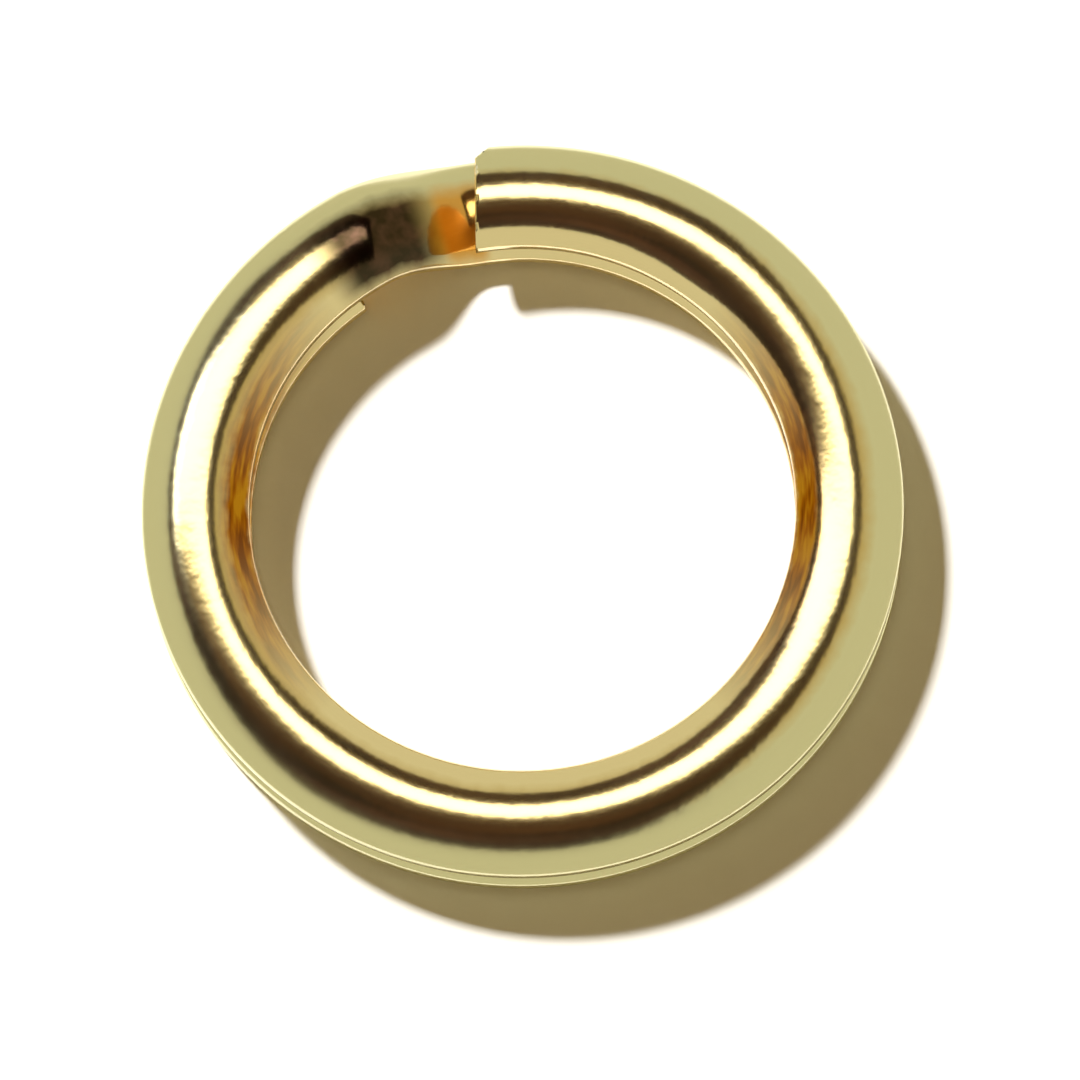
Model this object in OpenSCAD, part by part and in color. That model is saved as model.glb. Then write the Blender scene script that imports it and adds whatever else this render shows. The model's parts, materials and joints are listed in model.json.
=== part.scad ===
// Small split ring of sprung oval wire, wound two turns and closed flat on itself.
// The wire is one piece. It is drawn as neighbouring stretches, cut square across the wire
// at the places where it twists when a cut end is prised away from the turn beside it.
// +Z is the ring's axis, the lower turn lies on z = 0, and angles are counted from +X.

/* [Ring] */
// Outside diameter of both turns
ring_od = 12; // [8:0.1:40]
// Gap left between the two closed turns
turn_gap = 0.05; // [0.03:0.01:0.2]

/* [Wire] */
// Width of the oval wire, measured from the hole outwards
wire_w = 1.7; // [1.2:0.05:2.6]
// Height of the oval wire, measured along the ring's axis
wire_h = 0.62; // [0.5:0.01:1.2]
// Height of the flat that winding leaves on the wire's two narrow sides
side_flat_h = 0.16; // [0.1:0.01:0.3]

/* [Crossover] */
// Angle in which the wire drops from the upper turn to the lower one
cross_angle = 20.6; // [14:0.1:26]
// Angle left between the upper turn's cut end and the foot of the crossover
foot_clear = 1; // [1:0.5:6]
// Angle left between the head of the crossover and the lower turn's cut end
head_clear = 4; // [3:0.5:8]

/* [Cut ends] */
// Direction of the upper turn's cut end
upper_cut_at = 98.4; // [0:0.1:360]
// Angle taken up by the stretch that carries each cut
tip_angle = 12; // [8:0.5:20]
// Skew of both cuts from square: the upper turn's inner corner and the lower turn's outer one reach out
cut_skew = 8; // [0:0.5:15]
// Corner broken off the outside of each cut end
cut_chamfer = 0.2; // [0.05:0.01:0.4]

/* [Hidden] */
$fn = 120;

// Colours: the plated gold of the turns, and the deeper gold seen where the wire dips
turn_gold = "#cdb765";
dip_gold = "#a8812a";

// Ring
mid_r = (ring_od - wire_w) / 2;
lower_z = wire_h / 2;
turn_rise = wire_h + turn_gap;
upper_z = lower_z + turn_rise;

// Twists sit every sixth of a turn, counted from each cut end
twist_step = 360 / 6;
cross_foot_at = upper_cut_at + foot_clear;
cross_head_at = cross_foot_at + cross_angle;
lower_cut_at = cross_head_at + head_clear;

// The oval is cut off at the wire's width, where it is side_flat_h high
flat_at = asin(side_flat_h / wire_h);
oval_half_w = wire_w / 2 / cos(flat_at);

// Facets of the crossover, the one stretch that is not a plain arc:
// steps along the wire, and steps over each of the oval's two crowns
cross_steps = 20;
crown_steps = 18;

// The wire's section, centred on the wire
module wire_section() {
    intersection() {
        scale([1, wire_h / 2 / oval_half_w]) circle(r = oval_half_w);
        square([wire_w, 2 * wire_h], center = true);
    }
}

// A level stretch of wire, wound from one direction to another at a height
module wire_arc(from_angle, to_angle, z) {
    rotate_extrude(angle = to_angle - from_angle, start = from_angle)
        translate([mid_r, z]) wire_section();
}

// What the shears take away beyond a cut, with the broken outer corner.
// away is 1 where the waste lies at larger angles, -1 where it lies at smaller ones.
module cut_waste(cut_at, away, z) {
    block = 2 * wire_w;
    rotate(cut_at) translate([mid_r, 0, z]) rotate(-cut_skew) {
        translate([0, away * block / 2, 0]) cube(block, center = true);
        translate([wire_w / 2 / cos(cut_skew), 0, 0]) rotate(45)
            cube([cut_chamfer * sqrt(2), cut_chamfer * sqrt(2), block], center = true);
    }
}

// How far past square a skewed cut's corner can reach, as an angle with a little to spare
cut_reach = atan(wire_w / 2 * tan(cut_skew) / (mid_r - wire_w / 2)) + 1;

// The wire's height along the crossover, from t = 0 on the upper turn to t = 1 on the lower
function cross_z(t) = upper_z - turn_rise * (1 - cos(180 * t)) / 2;

// Slope of the wire along the crossover, as rise over run at mid width
function cross_slope(t) = turn_rise * sin(180 * t) * 90 / (cross_angle * mid_r);

// The oval's points, round the upper crown and back round the lower one, as [outwards, up]
oval_points = [
    for (crown = [0, 180], i = [0:crown_steps])
        let (a = crown + flat_at + (180 - 2 * flat_at) * i / crown_steps)
        [oval_half_w * cos(a), wire_h / 2 * sin(a)]
];

// One point of the oval, set on the upright section at t and stood square to the slope
function cross_point(t, p) =
    let (r = mid_r + p.x)
    let (direction = cross_head_at - cross_angle * t)
    [r * cos(direction), r * sin(direction), cross_z(t) + p.y * sqrt(1 + pow(cross_slope(t), 2))];

// The wire's dip from the upper turn to the lower one
module cross_sweep() {
    count = len(oval_points);
    points = [for (i = [0:cross_steps], p = oval_points) cross_point(i / cross_steps, p)];
    sides = [
        for (i = [0:cross_steps - 1], j = [0:count - 1])
            let (k = (j + 1) % count)
            each [
                [i * count + j, i * count + k, (i + 1) * count + k],
                [i * count + j, (i + 1) * count + k, (i + 1) * count + j]
            ]
    ];
    first_cap = [for (j = [count - 1:-1:0]) j];
    last_cap = [for (j = [0:count - 1]) cross_steps * count + j];
    polyhedron(points, concat([first_cap], sides, [last_cap]));
}

// Upper turn: from its cut end it runs to smaller angles, as far as the crossover

module upper_tip() {
    color(turn_gold) difference() {
        wire_arc(upper_cut_at - tip_angle, upper_cut_at + cut_reach, upper_z);
        cut_waste(upper_cut_at, 1, upper_z);
    }
}

module upper_stretch_1() {
    color(turn_gold) wire_arc(upper_cut_at - twist_step, upper_cut_at - tip_angle, upper_z);
}

module upper_stretch(number) {
    color(turn_gold)
        wire_arc(upper_cut_at - number * twist_step, upper_cut_at - (number - 1) * twist_step, upper_z);
}

module upper_shoulder() {
    color(turn_gold) wire_arc(cross_head_at - 360, upper_cut_at - 5 * twist_step, upper_z);
}

module crossover() {
    color(dip_gold) cross_sweep();
}

// Lower turn: from the crossover it runs on to smaller angles, as far as its own cut end

module lower_shoulder() {
    color(dip_gold) wire_arc(lower_cut_at + 5 * twist_step - 360, cross_foot_at, lower_z);
}

module lower_stretch(number) {
    color(turn_gold)
        wire_arc(lower_cut_at + (number - 1) * twist_step, lower_cut_at + number * twist_step, lower_z);
}

module lower_stretch_1() {
    color(turn_gold) wire_arc(lower_cut_at + tip_angle, lower_cut_at + twist_step, lower_z);
}

module lower_tip() {
    color(turn_gold) difference() {
        wire_arc(lower_cut_at - cut_reach, lower_cut_at + tip_angle, lower_z);
        cut_waste(lower_cut_at, -1, lower_z);
    }
}

upper_tip();
upper_stretch_1();
upper_stretch(2);  // upper_stretch_2
upper_stretch(3);  // upper_stretch_3
upper_stretch(4);  // upper_stretch_4
upper_stretch(5);  // upper_stretch_5
upper_shoulder();
crossover();
lower_shoulder();
lower_stretch(5);  // lower_stretch_5
lower_stretch(4);  // lower_stretch_4
lower_stretch(3);  // lower_stretch_3
lower_stretch(2);  // lower_stretch_2
lower_stretch_1();
lower_tip();
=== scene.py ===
"""Small split ring: one length of sprung, gold-plated wire wound two turns, closed, on a pale table."""

import json
import math

import bmesh
import bpy
from mathutils import Matrix, Vector

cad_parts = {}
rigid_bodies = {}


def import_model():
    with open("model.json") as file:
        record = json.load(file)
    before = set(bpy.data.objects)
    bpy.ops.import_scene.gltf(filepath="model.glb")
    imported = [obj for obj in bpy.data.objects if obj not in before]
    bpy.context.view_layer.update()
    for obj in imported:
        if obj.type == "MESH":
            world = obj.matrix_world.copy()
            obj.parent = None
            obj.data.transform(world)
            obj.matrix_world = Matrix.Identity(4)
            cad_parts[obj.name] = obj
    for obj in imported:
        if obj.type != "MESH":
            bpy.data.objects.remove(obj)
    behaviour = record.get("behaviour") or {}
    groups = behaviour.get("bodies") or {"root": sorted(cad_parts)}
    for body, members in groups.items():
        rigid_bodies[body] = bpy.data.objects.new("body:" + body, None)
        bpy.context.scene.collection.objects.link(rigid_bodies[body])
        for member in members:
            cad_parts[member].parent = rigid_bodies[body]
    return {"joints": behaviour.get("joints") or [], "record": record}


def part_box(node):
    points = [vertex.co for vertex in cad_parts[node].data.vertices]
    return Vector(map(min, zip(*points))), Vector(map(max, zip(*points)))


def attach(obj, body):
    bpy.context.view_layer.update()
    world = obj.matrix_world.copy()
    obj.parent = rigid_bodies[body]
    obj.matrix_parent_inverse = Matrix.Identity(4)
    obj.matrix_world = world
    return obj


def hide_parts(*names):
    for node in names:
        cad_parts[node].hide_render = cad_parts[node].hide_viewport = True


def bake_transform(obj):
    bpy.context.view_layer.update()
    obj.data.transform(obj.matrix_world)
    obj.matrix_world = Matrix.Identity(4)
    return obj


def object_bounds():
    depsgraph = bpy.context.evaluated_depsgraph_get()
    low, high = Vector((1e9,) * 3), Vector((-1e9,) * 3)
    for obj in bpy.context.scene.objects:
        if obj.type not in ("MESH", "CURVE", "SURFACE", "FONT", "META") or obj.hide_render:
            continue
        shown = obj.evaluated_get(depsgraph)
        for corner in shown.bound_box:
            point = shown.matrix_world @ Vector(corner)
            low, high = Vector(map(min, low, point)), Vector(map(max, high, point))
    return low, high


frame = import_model()
cad_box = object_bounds()

# --- View ---
# The ring is seen from ten diameters off, leaning a little south of straight overhead, with
# the wire's cut end at the top. It sits slightly up and to the left of the middle of the view.
MM = 0.001
VIEW_DIAMETERS_AWAY = 10
view_lean = math.radians(16.4)
view_side = math.radians(-85.6)
view_angle = math.radians(8.12)
aim = Vector((0.27, -0.44, 0.62)) * MM
outer_r = (cad_box[1].x - cad_box[0].x) / 2

toward_camera = Vector((
    math.sin(view_lean) * math.cos(view_side),
    math.sin(view_lean) * math.sin(view_side),
    math.cos(view_lean),
))
camera_right = Vector((0, 1, 0)).cross(toward_camera).normalized()
camera_up = toward_camera.cross(camera_right)

camera = bpy.data.objects.new("camera", bpy.data.cameras.new("camera"))
camera.data.angle = view_angle
camera.data.clip_start = MM
camera.rotation_mode = "QUATERNION"
camera_axes = Matrix((camera_right, camera_up, toward_camera)).transposed()
camera.rotation_quaternion = camera_axes.to_quaternion()
camera.location = aim + toward_camera * (VIEW_DIAMETERS_AWAY * 2 * outer_r)
bpy.context.scene.collection.objects.link(camera)
bpy.context.scene.camera = camera

# --- Table ---
# A sheet of smooth white card, larger than anything that the ring's polish mirrors.
TABLE_HALF = 0.6
TABLE_HEX = "#fbf9f4"
CARD_ROUGHNESS = 0.95


def linear(hex_colour):
    """An sRGB hex colour as linear red, green, blue and alpha."""
    shares = [int(hex_colour[i:i + 2], 16) / 255 for i in (1, 3, 5)]
    return [s / 12.92 if s <= 0.04045 else ((s + 0.055) / 1.055) ** 2.4 for s in shares] + [1.0]


def add_node(tree, kind, settings=(), links=()):
    """Adds a node to a tree with its settings and links.

    A ramp's stops are pairs of a position and a hex colour.
    """
    made = tree.nodes.new(kind)
    for key, value in dict(settings).items():
        if key == "stops":
            for _ in range(len(value) - len(made.color_ramp.elements)):
                made.color_ramp.elements.new(1.0)
            for element, (position, hex_colour) in zip(made.color_ramp.elements, value):
                element.position = position
                element.color = linear(hex_colour)
        elif isinstance(key, int) or key in made.inputs:
            made.inputs[key].default_value = value
        else:
            setattr(made, key, value)
    for key, output in dict(links).items():
        tree.links.new(output, made.inputs[key])
    return made


def new_surface(name, settings):
    """A material with a shader that has those settings. Gives the material, its tree and its shader."""
    material = bpy.data.materials.new(name)
    material.use_nodes = True
    tree = material.node_tree
    tree.nodes.clear()
    shader = add_node(tree, "ShaderNodeBsdfPrincipled", settings)
    add_node(tree, "ShaderNodeOutputMaterial", {}, {"Surface": shader.outputs["BSDF"]})
    return material, tree, shader


def new_object(name, bm, *materials):
    """Turns a bmesh into an object in the scene, with those materials in its slots."""
    mesh = bpy.data.meshes.new(name)
    bm.to_mesh(mesh)
    bm.free()
    for material in materials:
        mesh.materials.append(material)
    made = bpy.data.objects.new(name, mesh)
    bpy.context.scene.collection.objects.link(made)
    return made


# White card, pressed smooth: dead matt, so that it shows the ring's shadow and no shine
white_card, _, _ = new_surface("white_card_pressed",
    {"Base Color": linear(TABLE_HEX), "Roughness": CARD_ROUGHNESS})
bm = bmesh.new()
bmesh.ops.create_grid(bm, x_segments=1, y_segments=1, size=TABLE_HALF)
new_object("table", bm, white_card)

# --- Light ---
# A long soft panel high in the north-west, which only the polish takes light from, as one bright
# line, and a window lower down that casts the shadow and isn't mirrored. The polish also mirrors
# pale walls and a brown board overhead.
LAMP_AWAY = 0.5
PANEL_WEST, PANEL_NORTH = 8.5, 20.0
PANEL_WIDE, PANEL_DEEP = 24.0, 9.5
PANEL_WATTS = 0.22
WINDOW_WEST, WINDOW_NORTH = 34.0, 31.0
WINDOW_ACROSS = 6.0
WINDOW_WATTS = 3.95
BOARD_AWAY = 0.52
BOARD_WEST, BOARD_NORTH = 8.0, 11.0
BOARD_WIDE, BOARD_DEEP = 36.0, 50.0
BOARD_DARK_HEX = "#1f110d"
BOARD_LIGHT_HEX = "#52372c"
BOARD_PATCH = 0.09
BOARD_STOPS = [(0.4, BOARD_DARK_HEX), (0.7, BOARD_LIGHT_HEX)]
WALL_R = 0.95
WALL_STEPS = 48
WALL_HEX = "#cfc8a9"
ROOM_HEX = "#87754f"
UNLIT_HEX = "#000000"


def overhead(west, north, away):
    """A place above the ring, turned west and north of the zenith by those degrees, facing the ring."""
    turn = Matrix.Rotation(math.radians(-west), 4, "Y") @ Matrix.Rotation(math.radians(-north), 4, "X")
    return turn @ Matrix.Translation((0, 0, away))


def hang_lamp(name, west, north, wide, deep, watts):
    """An area light overhead, as wide and deep as those degrees seen from the ring."""
    light = bpy.data.lights.new(name, "AREA")
    light.shape = "RECTANGLE"
    light.size = 2 * LAMP_AWAY * math.tan(math.radians(wide / 2))
    light.size_y = 2 * LAMP_AWAY * math.tan(math.radians(deep / 2))
    light.energy = watts
    lamp = bpy.data.objects.new(name, light)
    lamp.matrix_world = overhead(west, north, LAMP_AWAY)
    bpy.context.scene.collection.objects.link(lamp)
    return lamp


panel = hang_lamp("panel", PANEL_WEST, PANEL_NORTH, PANEL_WIDE, PANEL_DEEP, PANEL_WATTS)
panel.visible_diffuse = False
window = hang_lamp("window", WINDOW_WEST, WINDOW_NORTH, WINDOW_ACROSS, WINDOW_ACROSS, WINDOW_WATTS)
window.visible_glossy = False


def glowing(name, hex_colour):
    """A matt stage material that gives off one even colour."""
    return new_surface(name, {"Base Color": linear(UNLIT_HEX), "Roughness": 1.0,
        "Emission Color": linear(hex_colour), "Emission Strength": 1.0})


def mirrored_only(backdrop):
    """Keeps a backdrop out of the light that falls on the table and the ring."""
    backdrop.visible_diffuse = False
    backdrop.visible_shadow = False


# Ceiling board, brushed with brown paint in uneven patches
board_paint, tree, shader = glowing("board_brushed_brown", BOARD_DARK_HEX)
spot = add_node(tree, "ShaderNodeTexCoord")
patches = add_node(tree, "ShaderNodeTexNoise", {"Scale": 1 / BOARD_PATCH, "Detail": 3.0},
    {"Vector": spot.outputs["Object"]})
shade = add_node(tree, "ShaderNodeValToRGB", {"stops": BOARD_STOPS},
    {"Fac": patches.outputs["Fac"]})
tree.links.new(shade.outputs["Color"], shader.inputs["Emission Color"])
bm = bmesh.new()
bmesh.ops.create_grid(bm, x_segments=1, y_segments=1, size=BOARD_AWAY)
half_wide, half_deep = (math.tan(math.radians(angle / 2)) for angle in (BOARD_WIDE, BOARD_DEEP))
bmesh.ops.scale(bm, verts=bm.verts, vec=(half_wide, half_deep, 1))
bmesh.ops.transform(bm, verts=bm.verts, matrix=overhead(BOARD_WEST, BOARD_NORTH, BOARD_AWAY))
board = new_object("ceiling_board", bm, board_paint)
board.visible_camera = False
mirrored_only(board)

# Pale walls, closed over the top
wall_paint, _, _ = glowing("wall_painted_pale", WALL_HEX)
bm = bmesh.new()
bmesh.ops.create_uvsphere(bm, u_segments=WALL_STEPS, v_segments=WALL_STEPS // 2, radius=WALL_R)
bmesh.ops.reverse_faces(bm, faces=bm.faces)
walls = new_object("walls", bm, wall_paint)
mirrored_only(walls)

world = bpy.data.worlds.new("room")
world.use_nodes = True
world.node_tree.nodes["Background"].inputs["Color"].default_value = linear(ROOM_HEX)
bpy.context.scene.world = world
bpy.context.scene.view_settings.view_transform = "Standard"

# --- Sprung turns ---
# Spring steel wire, rolled to an oval and coiled two turns on an arbor, then plated pale gold
# and barrel-polished. It is one piece: these ten lengths only mark where it twists.
joints = frame["joints"]
members = frame["record"]["behaviour"]["bodies"]
bore = next(mount for mount in frame["record"]["mounts"] if mount["name"] == "ring_hole")
hole_r = bore["dims"]["r_mm"] * MM
wire_w = outer_r - hole_r
mid_r = (outer_r + hole_r) / 2
lower_low, lower_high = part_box("lower_stretch_3")
upper_low, upper_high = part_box("upper_stretch_3")
wire_h = lower_high.z - lower_low.z
lower_z = (lower_low.z + lower_high.z) / 2
upper_z = (upper_low.z + upper_high.z) / 2

SIDE_FLAT_H = 0.16 * MM
SIDE_EASE = 0.006 * MM
SIDE_EASE_TILT = 71
SECTION_POINTS = 72
STEP_ANGLE = 0.75
TWIST_STEP = 60
CROSS_ANGLE = 20.6
HEAD_CLEAR = 4
CUT_TOUCH = 1e-9

# Directions along the wire are counted on from its lower end, so they pass 360 in the second turn
twist_ways = []
for joint in joints:
    way = math.degrees(math.atan2(joint["pos_m"][1], joint["pos_m"][0]))
    while twist_ways and way < twist_ways[-1] or way < 0:
        way += 360
    twist_ways.append(way)
lower_cut_way = twist_ways[0] - TWIST_STEP
upper_cut_way = twist_ways[-1] + TWIST_STEP
cross_stop = lower_cut_way + 360 - HEAD_CLEAR
cross_start = cross_stop - CROSS_ANGLE


def wire_height(way):
    """How high the middle of the wire is, and how much its slope there stretches it upright."""
    t = min(max((way - cross_start) / CROSS_ANGLE, 0), 1)
    rise = upper_z - lower_z
    slope = rise * math.pi / 2 * math.sin(math.pi * t) / (math.radians(CROSS_ANGLE) * mid_r)
    return lower_z + rise * (1 - math.cos(math.pi * t)) / 2, math.hypot(1, slope)


def wire_way(point, near_way):
    """The direction of a point, counted along the wire near a known direction."""
    way = math.degrees(math.atan2(point.y, point.x))
    return way + 360 * round((near_way - way) / 360)


def wind_wire(start_way, stop_way):
    """One length of wire, closed at both ends: an oval spun round the ring's axis and set to its height."""
    bm = bmesh.new()
    around = bm.verts.layers.float.new("around")
    oval_half_w = wire_w / 2 / math.sqrt(1 - (SIDE_FLAT_H / wire_h) ** 2)
    stand = Matrix.Translation((mid_r, 0, 0)) @ Matrix.Rotation(math.pi / 2, 4, "X")
    oval = stand @ Matrix.Diagonal((oval_half_w, wire_h / 2, 1, 1))
    bmesh.ops.create_circle(bm, cap_ends=True, segments=SECTION_POINTS, radius=1, matrix=oval)
    flat_half = SIDE_FLAT_H / 2
    ease_out = math.sin(math.radians(SIDE_EASE_TILT))
    ease_up = math.cos(math.radians(SIDE_EASE_TILT))
    for side, up in ((1, 0), (-1, 0), (1, 1), (1, -1), (-1, 1), (-1, -1)):
        # The flat first, then the eased corners above and below it
        facing = Vector((side * ease_out, 0, up * ease_up)) if up else Vector((side, 0, 0))
        place = Vector((mid_r + side * wire_w / 2, 0, up * flat_half))
        if up:
            place -= facing * SIDE_EASE
        bmesh.ops.bisect_plane(bm, geom=bm.verts[:] + bm.edges[:] + bm.faces[:], dist=CUT_TOUCH,
            plane_co=place, plane_no=facing, clear_outer=True)

    # Mark each point of the oval with its way round from the underside, by the hole first
    rim = [loop.vert for face in bm.faces for loop in face.loops]
    first = min(range(len(rim)), key=lambda i: (round(rim[i].co.z / MM, 4), abs(rim[i].co.x - mid_r)))
    rim = rim[first:] + rim[:first]
    if rim[1].co.x > mid_r:
        rim = rim[:1] + rim[:0:-1]
    passed = 0.0
    for last, vert in zip(rim, rim[1:]):
        passed += (vert.co - last.co).length
        vert[around] = passed / MM
    girth = (passed + (rim[0].co - rim[-1].co).length) / MM

    spin_angle = math.radians(stop_way - start_way)
    bmesh.ops.rotate(bm, verts=bm.verts, matrix=Matrix.Rotation(math.radians(start_way), 3, "Z"))
    bmesh.ops.spin(bm, geom=bm.verts[:] + bm.edges[:] + bm.faces[:], cent=(0, 0, 0), axis=(0, 0, 1),
        angle=spin_angle, steps=math.ceil((stop_way - start_way) / STEP_ANGLE), use_duplicate=False)
    middle_way = (start_way + stop_way) / 2
    for vert in bm.verts:
        height, stretch = wire_height(wire_way(vert.co, middle_way))
        vert.co.z = height + vert.co.z * stretch
    bmesh.ops.recalc_face_normals(bm, faces=bm.faces)
    return bm, around, girth, middle_way


def unwrap_wire(bm, around, girth, middle_way):
    """Gives the wire a map in mm, u along it and v round it. Shades all but its end faces smooth."""
    uv = bm.loops.layers.uv.new("wire")
    for face in bm.faces:
        capped = len(face.verts) > 4
        face.smooth = not capped
        for loop in face.loops:
            u = math.radians(wire_way(loop.vert.co, middle_way)) * mid_r / MM
            loop[uv].uv = (u, loop.vert[around])
        spans = [loop[uv].uv.y for loop in face.loops]
        if not capped and max(spans) - min(spans) > girth / 2:
            for loop in face.loops:
                if loop[uv].uv.y < girth / 2:
                    loop[uv].uv.y += girth
        if capped:
            for edge in face.edges:
                edge.smooth = False


# Gold plate, barrel-polished: it gives the eye a bright mirror, blurred a little. It is rubbed duller
# outside, where it slides on keys. Its colour holds painted reflections: paler on the outer slope, near
# white on the wall by the hole, and deep and streaky on the slope by the hole at the two sides
PLATE_MID_HEX = "#e2c987"
SIDE_PAINTED_DEEP_HEX = "#cf9c2e"
WALL_PAINTED_SHEEN_HEX = "#fff0c2"
OUTER_PAINTED_PALE_HEX = "#ece9c0"
STREAK_DARK_HEX = "#a3742c"
STREAK_MID_HEX = "#d9ae5c"
STREAK_LIGHT_HEX = "#fff0b8"
HEAD_PAINTED_DARK_HEX = "#1d0d08"
HEAD_PAINTED_BROWN_HEX = "#4d332c"
FOOT_PAINTED_ORANGE_HEX = "#eeb255"
NONE_HEX = "#000000"
FULL_HEX = "#ffffff"

# Sizes in millimetres, but for DRAWN_OUT, how many times longer than wide a line is. Real draw lines
# are about 0.005 mm wide, and are drawn coarser here so that they show
GIRTH = 3.84
RIPPLE = 0.30
DRAW_LINE = 0.03
STREAK = 0.13
DRAWN_OUT = 8
GRAIN_ROUGHNESS = 0.55

RELIEF = 0.0015 * MM
LINE_SHARE = 0.08
RAGGED = 0.03
POLISHED_ROUGHNESS = 0.11
RUBBED_ROUGHNESS = 0.22
RUBBED_FROM, RUBBED_FULL = 0.62, 0.68
HEAD_PAINTED_WAY = cross_stop - 2.5
FOOT_PAINTED_WAY = cross_start + 2
SIDES_FROM = -0.1

# Positions on the oval: 0.25 is by the hole, 0.5 the crown and 0.75 outside
# Painted reflections in the plate's colour: near white on the wall by the hole, pale on the outer slope
PAINTED_BAND_STOPS = [
    (0.16, PLATE_MID_HEX), (0.22, WALL_PAINTED_SHEEN_HEX), (0.37, WALL_PAINTED_SHEEN_HEX), (0.44, PLATE_MID_HEX),
    (0.58, PLATE_MID_HEX), (0.64, OUTER_PAINTED_PALE_HEX), (0.82, OUTER_PAINTED_PALE_HEX), (0.90, PLATE_MID_HEX),
]
BY_HOLE_STOPS = [(0.27, NONE_HEX), (0.31, FULL_HEX), (0.38, FULL_HEX), (0.44, NONE_HEX)]
OVER_CROWN_STOPS = [(0.27, NONE_HEX), (0.34, FULL_HEX), (0.58, FULL_HEX), (0.67, NONE_HEX)]
STREAK_STOPS = [(0.34, STREAK_DARK_HEX), (0.50, STREAK_MID_HEX), (0.66, STREAK_LIGHT_HEX)]
HEAD_PAINTED_STOPS = [(0.35, HEAD_PAINTED_DARK_HEX), (0.75, HEAD_PAINTED_BROWN_HEX)]
gold_plate, tree, shader = new_surface("gold_plate_barrel_polished", {"Metallic": 1.0})
wire_map = add_node(tree, "ShaderNodeUVMap", {"uv_map": "wire"})
drawn_out = add_node(tree, "ShaderNodeMapping", {"Scale": (1 / DRAWN_OUT, 1.0, 1.0)},
    {"Vector": wire_map.outputs["UV"]})

# Coiling leaves ripples 0.3 mm long, and drawing leaves lines that run along the wire. Streaks along the
# wire pattern the painted reflection by the hole
ripple = add_node(tree, "ShaderNodeTexNoise",
    {"noise_dimensions": "2D", "Scale": 1 / RIPPLE, "Detail": 2.0, "Roughness": GRAIN_ROUGHNESS},
    {"Vector": wire_map.outputs["UV"]})
drawing = add_node(tree, "ShaderNodeTexNoise",
    {"noise_dimensions": "2D", "Scale": 1 / DRAW_LINE, "Detail": 3.0, "Roughness": GRAIN_ROUGHNESS},
    {"Vector": drawn_out.outputs["Vector"]})
streak = add_node(tree, "ShaderNodeTexNoise",
    {"noise_dimensions": "2D", "Scale": 1 / STREAK, "Detail": 2.0, "Roughness": GRAIN_ROUGHNESS},
    {"Vector": drawn_out.outputs["Vector"]})

# Where on the oval a point is, with a ragged edge
place = add_node(tree, "ShaderNodeSeparateXYZ", {}, {"Vector": wire_map.outputs["UV"]})
share = add_node(tree, "ShaderNodeMath", {"operation": "DIVIDE", 1: GIRTH}, {0: place.outputs["Y"]})
ragged = add_node(tree, "ShaderNodeMath", {"operation": "MULTIPLY_ADD", 1: RAGGED},
    {0: ripple.outputs["Fac"], 2: share.outputs[0]})
# The painted reflection bands, by position on the oval
painted_bands = add_node(tree, "ShaderNodeValToRGB", {"stops": PAINTED_BAND_STOPS}, {"Fac": ragged.outputs[0]})

# Painted reflection of shade: the slope by the hole is painted deep and streaky on the two sides of the
# ring
turned_twice = add_node(tree, "ShaderNodeMath", {"operation": "MULTIPLY", 1: 2 * MM / mid_r},
    {0: place.outputs["X"]})
swing = add_node(tree, "ShaderNodeMath", {"operation": "COSINE"}, {0: turned_twice.outputs[0]})
at_sides = add_node(tree, "ShaderNodeMapRange",
    {"From Min": SIDES_FROM, "From Max": 1.0, "To Min": 0.0, "To Max": 1.0}, {"Value": swing.outputs[0]})
by_hole = add_node(tree, "ShaderNodeValToRGB", {"stops": BY_HOLE_STOPS}, {"Fac": ragged.outputs[0]})
painted_deep_share = add_node(tree, "ShaderNodeMath", {"operation": "MULTIPLY"},
    {0: by_hole.outputs["Color"], 1: at_sides.outputs["Result"]})
streaks = add_node(tree, "ShaderNodeValToRGB", {"stops": STREAK_STOPS}, {"Fac": streak.outputs["Fac"]})
# The painted deep reflection, streaked along the wire
deep = add_node(tree, "ShaderNodeMix",
    {"data_type": "RGBA", "blend_type": "MULTIPLY", 0: 1.0, 6: linear(SIDE_PAINTED_DEEP_HEX)},
    {7: streaks.outputs["Color"]})
plate_with_painted_reflections = add_node(tree, "ShaderNodeMix", {"data_type": "RGBA"},
    {0: painted_deep_share.outputs[0], 6: painted_bands.outputs["Color"], 7: deep.outputs[2]})

# Painted reflections over the crown: a purple-brown dark one over the head of the crossover, a straw-orange
# one at its foot
over_crown = add_node(tree, "ShaderNodeValToRGB", {"stops": OVER_CROWN_STOPS}, {"Fac": ragged.outputs[0]})


def painted_reflection_at(way, full, none, strength):
    """A share over the crown that fades along the wire, between two distances in mm from a direction."""
    off = add_node(tree, "ShaderNodeMath", {"operation": "SUBTRACT", 1: math.radians(way) * mid_r / MM},
        {0: place.outputs["X"]})
    far = add_node(tree, "ShaderNodeMath", {"operation": "ABSOLUTE"}, {0: off.outputs[0]})
    fading = add_node(tree, "ShaderNodeMapRange", {"interpolation_type": "SMOOTHSTEP",
        "From Min": full, "From Max": none, "To Min": strength, "To Max": 0.0}, {"Value": far.outputs[0]})
    return add_node(tree, "ShaderNodeMath", {"operation": "MULTIPLY"},
        {0: fading.outputs["Result"], 1: over_crown.outputs["Color"]})


# The purple-brown painted dark reflection at the head of the crossover
head_painted_dark = add_node(tree, "ShaderNodeValToRGB", {"stops": HEAD_PAINTED_STOPS}, {"Fac": ripple.outputs["Fac"]})
head_share = painted_reflection_at(HEAD_PAINTED_WAY, full=0.55, none=1.3, strength=0.95)
plate_with_head_dark = add_node(tree, "ShaderNodeMix", {"data_type": "RGBA"},
    {0: head_share.outputs[0], 6: plate_with_painted_reflections.outputs[2], 7: head_painted_dark.outputs["Color"]})
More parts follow.
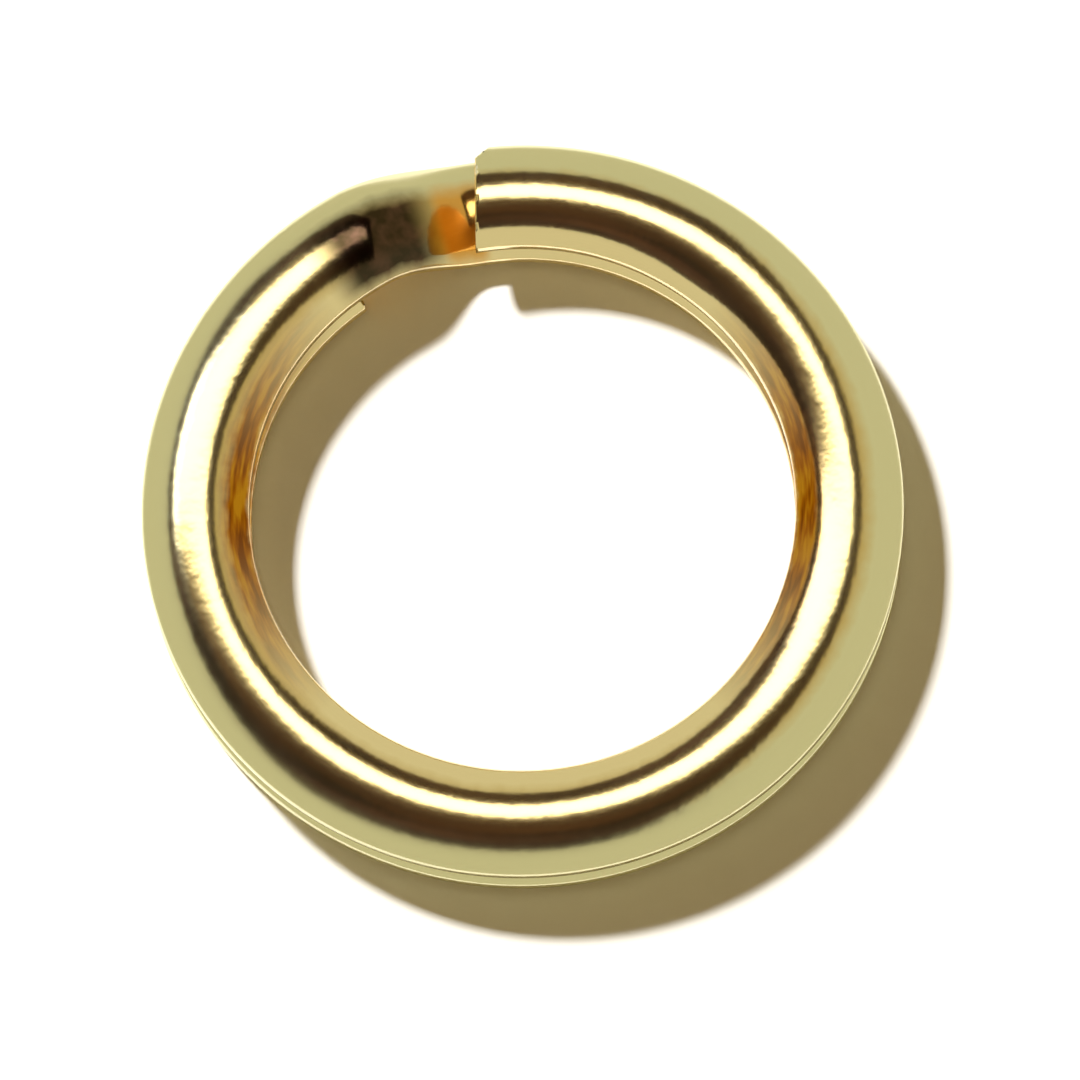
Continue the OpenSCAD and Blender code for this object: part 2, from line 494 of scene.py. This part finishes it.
# The straw-orange painted reflection at the foot of the crossover
foot_share = painted_reflection_at(FOOT_PAINTED_WAY, full=0.25, none=0.5, strength=0.9)
plate_with_foot_orange = add_node(tree, "ShaderNodeMix", {"data_type": "RGBA", 7: linear(FOOT_PAINTED_ORANGE_HEX)},
    {0: foot_share.outputs[0], 6: plate_with_head_dark.outputs[2]})
tree.links.new(plate_with_foot_orange.outputs[2], shader.inputs["Base Color"])

# Keys rub the outer slope dull. The rest keeps its polish
dull = add_node(tree, "ShaderNodeMapRange", {
    "From Min": RUBBED_FROM, "From Max": RUBBED_FULL,
    "To Min": POLISHED_ROUGHNESS, "To Max": RUBBED_ROUGHNESS,
}, {"Value": ragged.outputs[0]})
tree.links.new(dull.outputs["Result"], shader.inputs["Roughness"])
relief = add_node(tree, "ShaderNodeMath", {"operation": "MULTIPLY_ADD", 1: LINE_SHARE},
    {0: drawing.outputs["Fac"], 2: ripple.outputs["Fac"]})
bump = add_node(tree, "ShaderNodeBump", {"Strength": 1.0, "Distance": RELIEF},
    {"Height": relief.outputs[0]})
tree.links.new(bump.outputs["Normal"], shader.inputs["Normal"])

# Each length is spun across a hinge, half its run either side, in place of the two parts that meet there
for joint, way in zip(joints, twist_ways):
    bm, around, girth, middle_way = wind_wire(way - TWIST_STEP / 2, way + TWIST_STEP / 2)
    unwrap_wire(bm, around, girth, middle_way)
    turn = new_object(joint["name"].replace("twist", "turn").replace("end_open", "turn_3"), bm, gold_plate)
    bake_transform(turn)
    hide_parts(members[joint["parent"]][-1], members[joint["child"]][0])

# --- Crossover ---
# Where the wire leaves the lower turn and climbs over its own cut end to become the upper one.
# It is the same wire, kinked by the coiler, and it stays still when either end is prised.
bm, around, girth, middle_way = wind_wire(twist_ways[4] + TWIST_STEP / 2, twist_ways[5] - TWIST_STEP / 2)
unwrap_wire(bm, around, girth, middle_way)
crossover = new_object("crossover_bend", bm, gold_plate)
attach(crossover, "middle")
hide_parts(*members["middle"])

# --- Cut ends ---
# Both ends are cropped by shears, which leave a slightly skewed, grained face with its outer
# corner broken. The plate covers them too, over the torn steel.
CUT_SKEW = 8
CUT_CHAMFER = 0.2 * MM
CUT_SPARE = 3
CUT_EASE = 0.025 * MM
SHEAR_GRAIN = 0.06 * MM
SHEAR_DEPTH = 0.02 * MM
SHEARED_HEX = "#f0b650"
SHEARED_ROUGHNESS = 0.34

# Gold plate over sheared steel: the same plate, which looks dull and grained from the tear under it
sheared_plate, tree, shader = new_surface("gold_plate_over_sheared_steel",
    {"Metallic": 1.0, "Roughness": SHEARED_ROUGHNESS, "Base Color": linear(SHEARED_HEX)})
in_place = add_node(tree, "ShaderNodeTexCoord")
torn = add_node(tree, "ShaderNodeTexNoise",
    {"Scale": 1 / SHEAR_GRAIN, "Detail": 4.0, "Roughness": 0.6}, {"Vector": in_place.outputs["Object"]})
bump = add_node(tree, "ShaderNodeBump", {"Strength": 1.0, "Distance": SHEAR_DEPTH},
    {"Height": torn.outputs["Fac"]})
tree.links.new(bump.outputs["Normal"], shader.inputs["Normal"])


def crop(bm, place, facing):
    """Cuts away what lies beyond a plane and closes the wire there with a sheared face."""
    cut = bmesh.ops.bisect_plane(bm, geom=bm.verts[:] + bm.edges[:] + bm.faces[:], dist=CUT_TOUCH,
        plane_co=place, plane_no=facing, clear_outer=True)
    cut_edges = [e for e in cut["geom_cut"] if isinstance(e, bmesh.types.BMEdge)]
    for face in bmesh.ops.holes_fill(bm, edges=cut_edges, sides=0)["faces"]:
        face.material_index = 1


for name, body, cut_way, away in (
    ("lower_cut_end", "lower_end", lower_cut_way, -1),
    ("upper_cut_end", "upper_end", upper_cut_way, 1),
):
    ends = sorted((cut_way + away * CUT_SPARE, cut_way - away * TWIST_STEP / 2))
    bm, around, girth, middle_way = wind_wire(*ends)
    face_turn = math.radians(cut_way - CUT_SKEW)
    outwards = Vector((math.cos(face_turn), math.sin(face_turn), 0))
    beyond = Vector((-math.sin(face_turn), math.cos(face_turn), 0)) * away
    cut_point = Vector((math.cos(math.radians(cut_way)), math.sin(math.radians(cut_way)), 0)) * mid_r
    corner = cut_point + outwards * (wire_w / 2 / math.cos(math.radians(CUT_SKEW)))
    crop(bm, cut_point, beyond)
    crop(bm, corner - outwards * CUT_CHAMFER, (outwards + beyond).normalized())
    rim = [e for e in bm.edges if sum(f.material_index for f in e.link_faces) == 1]
    bmesh.ops.bevel(bm, geom=rim, affect="EDGES", offset=CUT_EASE, segments=2, profile=0.5, material=-1)
    bmesh.ops.recalc_face_normals(bm, faces=bm.faces)
    unwrap_wire(bm, around, girth, middle_way)
    cut_end = new_object(name, bm, gold_plate, sheared_plate)
    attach(cut_end, body)
    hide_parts(*members[body])
